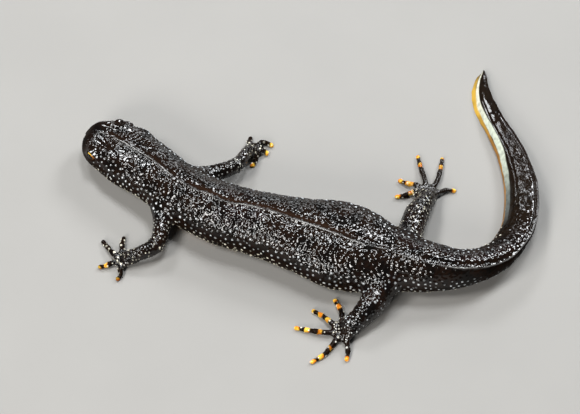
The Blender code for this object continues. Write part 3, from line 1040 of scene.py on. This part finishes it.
class Shader:
    """A material's nodes, added with few words."""

    def __init__(self, name):
        self.material = bpy.data.materials.new(name)
        self.material.use_nodes = True
        self.tree = self.material.node_tree
        self.surface = self.tree.nodes["Principled BSDF"]

    def feed(self, socket, value):
        if isinstance(value, bpy.types.NodeSocket):
            self.tree.links.new(value, socket)
        elif isinstance(value, tuple) and socket.type == "RGBA":
            socket.default_value = (*value, 1.0)
        else:
            socket.default_value = value

    def node(self, kind, inputs, output=0, **settings):
        """A new node with these settings, its inputs fed by name or number: one output."""
        made = self.tree.nodes.new(kind)
        for key, value in settings.items():
            setattr(made, key, value)
        for key, value in inputs.items():
            self.feed(made.inputs[key], value)
        return made.outputs[output]

    def mark(self, name):
        return self.node("ShaderNodeAttribute", {}, "Fac", attribute_name=name)

    def math(self, operation, a, b=0.0):
        return self.node("ShaderNodeMath", {0: a, 1: b}, operation=operation)

    def times(self, a, b):
        return self.math("MULTIPLY", a, b)

    def mix(self, share, a, b):
        return self.node("ShaderNodeMix", {0: share, 6: a, 7: b}, 2, data_type="RGBA")

    def between(self, value, start, end, low=0.0, high=1.0):
        inputs = dict(enumerate((value, start, end, low, high)))
        return self.node("ShaderNodeMapRange", inputs, interpolation_type="SMOOTHSTEP")

    def place(self):
        """The place on the object in millimetres."""
        inputs = {0: self.node("ShaderNodeTexCoord", {}, "Object"), "Scale": 1 / MM}
        return self.node("ShaderNodeVectorMath", inputs, operation="SCALE")

    def noise(self, place, size, detail=2.0, distortion=0.0):
        inputs = {"Vector": place, "Scale": 1 / size, "Detail": detail, "Distortion": distortion}
        return self.node("ShaderNodeTexNoise", inputs, "Fac")

    def cells(self, place, size):
        inputs = {"Vector": place, "Scale": 1 / size}
        return self.node("ShaderNodeTexVoronoi", inputs, "Distance", feature="SMOOTH_F1")

    def bump(self, height, depth, **under):
        """Relief of this depth in millimetres where the height is 1, over a Normal if given."""
        return self.node("ShaderNodeBump", {"Height": height, "Distance": depth * MM, **under})

    def finish(self, **inputs):
        for name, value in inputs.items():
            self.feed(self.surface.inputs[name.replace("_", " ")], value)
        return self.material


BACK = (0.0024, 0.0018, 0.0015)
BACK_LIGHT = (0.0048, 0.0037, 0.0030)
FLANK = (0.0078, 0.0041, 0.0019)
CREASE = (0.0085, 0.0036, 0.0017)
TAIL_SHADE = (0.0075, 0.0044, 0.0024)
# The crest's pale line: partly its own paler skin, partly a painted highlight of the wet ridge.
CREST_PIGMENT_AND_HIGHLIGHT = (0.30, 0.295, 0.285)
CREST_BAND = (0.0150, 0.0070, 0.0038)
WHITE = (0.74, 0.78, 0.80)
CREAM = (0.86, 0.81, 0.66)
OCHRE_START = (0.28, 0.13, 0.025)
OCHRE_END = (0.55, 0.34, 0.05)
ORANGE = (0.72, 0.20, 0.012)
YELLOW = (0.80, 0.50, 0.06)
STRIPE_START = (0.10, 0.115, 0.11)
STRIPE_MIDDLE = (0.44, 0.48, 0.40)
STRIPE_END = (0.56, 0.55, 0.44)
PUPIL = (0.001, 0.001, 0.001)
IRIS = (0.010, 0.006, 0.003)
GOLD_BEHIND = (0.36, 0.13, 0.02)
GOLD_AHEAD = (0.80, 0.50, 0.04)


def skin_material():
    """Wet, near-black, granular skin with its brown flanks, white tips and orange parts."""
    shader = Shader("newt_skin")
    mark, mix, between, times = shader.mark, shader.mix, shader.between, shader.times
    place = shader.place()
    along = mark("along")
    patchy = shader.noise(place, 3.2, detail=4.0)
    fine = shader.noise(place, 0.32, detail=3.0)
    mottled = shader.noise(place, 0.9, detail=3.0, distortion=0.4)

    colour = mix(between(patchy, 0.40, 0.64), BACK, BACK_LIGHT)
    brown = times(mark("brown"), between(mottled, 0.36, 0.62))
    colour = mix(brown, colour, FLANK)
    crease = times(mark("crease"), between(patchy, 0.38, 0.6))
    colour = mix(times(crease, 0.75), colour, CREASE)
    on_tail = between(along, 88.0, 104.0)
    grey = times(on_tail, between(mottled, 0.3, 0.6, 0.2, 1.0))
    colour = mix(grey, colour, TAIL_SHADE)

    silver = mix(between(along, 106.0, 120.0), STRIPE_START, STRIPE_MIDDLE)
    silver = mix(between(along, 126.0, 137.0), silver, STRIPE_END)
    silver = mix(between(mottled, 0.35, 0.7, 0.0, 0.35), silver, TAIL_SHADE)
    amber = times(mark("amber"), between(fine, 0.2, 0.5, 0.7, 1.0))
    for share, over in (
        (mark("belly"), mix(between(mottled, 0.42, 0.60), ORANGE, YELLOW)),
        (mark("keel"), mix(between(along, 122.0, 134.0), OCHRE_START, OCHRE_END)),
        (amber, mix(between(mottled, 0.45, 0.6), YELLOW, ORANGE)),
        (mark("stripe"), silver),
        (mark("band"), CREST_BAND),
        # the crest's pale line, partly pigment and partly a painted highlight
        (mark("line"), CREST_PIGMENT_AND_HIGHLIGHT),
        (mark("white"), mix(mark("cream"), WHITE, CREAM)),
    ):
        colour = mix(share, colour, over)

    granules = shader.cells(place, 0.34)
    depth = between(along, 96.0, 106.0, 0.15, 0.60)
    raised = times(shader.math("SUBTRACT", 1.0, granules), depth)
    normal = shader.bump(fine, 0.008, Normal=shader.bump(raised, 0.030))
    wrinkled = times(between(along, 98.0, 108.0), between(along, 130.0, 122.0))
    satin = times(shader.noise(place, 0.26), wrinkled)
    normal = shader.bump(satin, 0.055, Normal=normal)
    roughness = between(shader.noise(place, 0.7), 0.3, 0.7, 0.42, 0.56)
    return shader.finish(
        Base_Color=colour,
        Roughness=roughness,
        Normal=normal,
        IOR=1.06,
        Coat_Weight=mark("wet"),
        Coat_Normal=normal,
        Coat_Roughness=0.055,
        Coat_IOR=1.60,
    )


def eye_material():
    """A black pupil in a thin gold ring, gold flecks above and below it, under wet cornea."""
    shader = Shader("newt_eye")
    maths, mix, between, times = shader.math, shader.mix, shader.between, shader.times
    place = shader.place()
    fleck = shader.noise(place, 0.16, detail=4.0)
    x, y = (shader.node("ShaderNodeSeparateXYZ", {0: place}, axis) for axis in "XY")
    lengthways = maths("DIVIDE", x, 1.4)
    from_axis = maths("SQRT", maths("ADD", times(lengthways, lengthways), times(y, y)))
    upright = maths("DIVIDE", y, maths("ADD", from_axis, 0.05))
    above, below = between(upright, -0.1, 0.7, 0.12, 1.0), between(upright, -0.4, -0.9, 0.0, 0.30)
    ring = times(between(from_axis, 0.55, 0.60), between(from_axis, 0.76, 0.68))
    ring = times(ring, maths("ADD", above, below))
    flecks = times(between(fleck, 0.46, 0.62), between(from_axis, 1.05, 0.8))
    gold = maths("MAXIMUM", ring, times(flecks, 0.35))
    metal = mix(between(x, -0.7, 0.1), GOLD_BEHIND, GOLD_AHEAD)
    colour = mix(between(from_axis, 0.60, 0.55), mix(gold, IRIS, metal), PUPIL)
    return shader.finish(
        Base_Color=colour,
        Roughness=0.25,
        Normal=shader.bump(fleck, 0.01),
        IOR=1.15,
        Coat_Weight=0.8,
        Coat_Roughness=0.02,
        Coat_IOR=1.376,
    )


def build_eye(side, eye, material):
    """An eyeball with a cornea that stands a little proud of it."""
    work = bmesh.new()
    radius = eye.radius - EYE_PLAY
    bmesh.ops.create_uvsphere(work, u_segments=64, v_segments=40, radius=radius)
    for vert in work.verts:
        past_edge = max(0.0, vert.co.z / eye.radius - CORNEA_EDGE)
        vert.co *= (1 + CORNEA_RISE * past_edge / (1 - CORNEA_EDGE)) * MM
    mesh = bpy.data.meshes.new(f"eyeball_{side}")
    work.to_mesh(mesh)
    work.free()
    mesh.shade_smooth()
    mesh.materials.append(material)
    ball = add_object(f"eyeball_{side}", mesh)
    axes = Matrix([eye.ahead, eye.up, eye.out]).transposed().to_4x4()
    ball.matrix_world = Matrix.Translation(Vector(eye.centre * MM)) @ axes
    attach(ball, "root")
    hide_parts(f"eye_{side}")


def build_eyes():
    material = eye_material()
    for side, eye in EYES.items():
        build_eye(side, eye, material)


# ---------------- studio


FLOOR_WIDTH = 6.0
FLOOR_COLOUR = (0.238, 0.232, 0.220)
BACKDROP_COLOUR = (0.47, 0.46, 0.44)
ROOM_COLOUR = (0.90, 0.94, 1.0)
ROOM_STRENGTH = 0.04
COOL = (0.95, 0.975, 1.0)
WARM = (1.0, 0.98, 0.95)
LIGHTS = {  # place, half its width in degrees as seen from the newt, brightness, colour
    "above": ((0.10, 0.18, 0.72), 8.5, 33.0, COOL),
    "behind": ((0.50, 0.45, 0.50), 8.5, 36.0, COOL),
    "beyond": ((-0.28, 0.52, 0.62), 7.2, 30.0, COOL),
    "front": ((-0.42, -0.70, 0.42), 9.5, 31.0, WARM),
    "over": ((-0.45, -0.20, 0.74), 9.0, 28.0, (1.0, 0.99, 0.97)),
    "low": ((0.16, 0.92, 0.30), 9.0, 5.0, COOL),
}
CAMERA_ELEVATION = math.radians(55)
CAMERA_DISTANCE = 0.45
CAMERA_LENS = 139.7
AIM = Vector((-0.003673, 0.000751, 0.0))


def build_floor():
    mesh = bpy.data.meshes.new("floor")
    half = FLOOR_WIDTH / 2
    corners = [(x * half, y * half, 0) for x, y in ((-1, -1), (1, -1), (1, 1), (-1, 1))]
    mesh.from_pydata(corners, [], [(0, 1, 2, 3)])
    shader = Shader("floor")
    grain = shader.noise(shader.place(), 25.0, detail=3.0)
    darker = tuple(0.97 * part for part in FLOOR_COLOUR)
    colour = shader.mix(shader.between(grain, 0.3, 0.7), FLOOR_COLOUR, darker)
    mesh.materials.append(shader.finish(Base_Color=colour, Roughness=0.8))
    floor = add_object("floor", mesh)


def look_from(thing, place, target):
    thing.location = place
    thing.rotation_euler = (target - place).to_track_quat("-Z", "Y").to_euler()


def build_lights():
    """Round softboxes above, behind and in front, all aimed at the newt."""
    for name, (place, half_angle, brightness, colour) in LIGHTS.items():
        place = Vector(place)
        radius = place.length * math.tan(math.radians(half_angle))
        light = bpy.data.lights.new(name, "AREA")
        light.shape = "DISK"
        light.size = 2 * radius
        light.energy = brightness * math.pi * (math.pi * radius**2)
        light.color = colour
        look_from(add_object(name, light), place, Vector((0, 0, 0)))


def build_room():
    """A dim room round the stage, with a pale backdrop wherever the floor ends."""
    world = bpy.data.worlds.new("studio")
    world.use_nodes = True
    nodes, links = world.node_tree.nodes, world.node_tree.links
    room = nodes["Background"]
    room.inputs["Color"].default_value = (*ROOM_COLOUR, 1.0)
    room.inputs["Strength"].default_value = ROOM_STRENGTH
    backdrop = nodes.new("ShaderNodeBackground")
    backdrop.inputs["Color"].default_value = (*BACKDROP_COLOUR, 1.0)
    either = nodes.new("ShaderNodeMixShader")
    seen = nodes.new("ShaderNodeLightPath").outputs["Is Camera Ray"]
    for source, socket in zip((seen, room.outputs[0], backdrop.outputs[0]), either.inputs):
        links.new(source, socket)
    links.new(either.outputs[0], nodes["World Output"].inputs[0])
    bpy.context.scene.world = world
    bpy.context.scene.view_settings.view_transform = "Standard"


def build_camera():
    camera = bpy.data.cameras.new("camera")
    camera.lens = CAMERA_LENS
    camera.clip_start = 0.01
    away = Vector((0, -math.cos(CAMERA_ELEVATION), math.sin(CAMERA_ELEVATION)))
    bpy.context.scene.camera = add_object("camera", camera)
    look_from(bpy.context.scene.camera, AIM + away * CAMERA_DISTANCE, AIM)


build_camera()
build_floor()
build_lights()
build_room()
build_skin()
build_eyes()
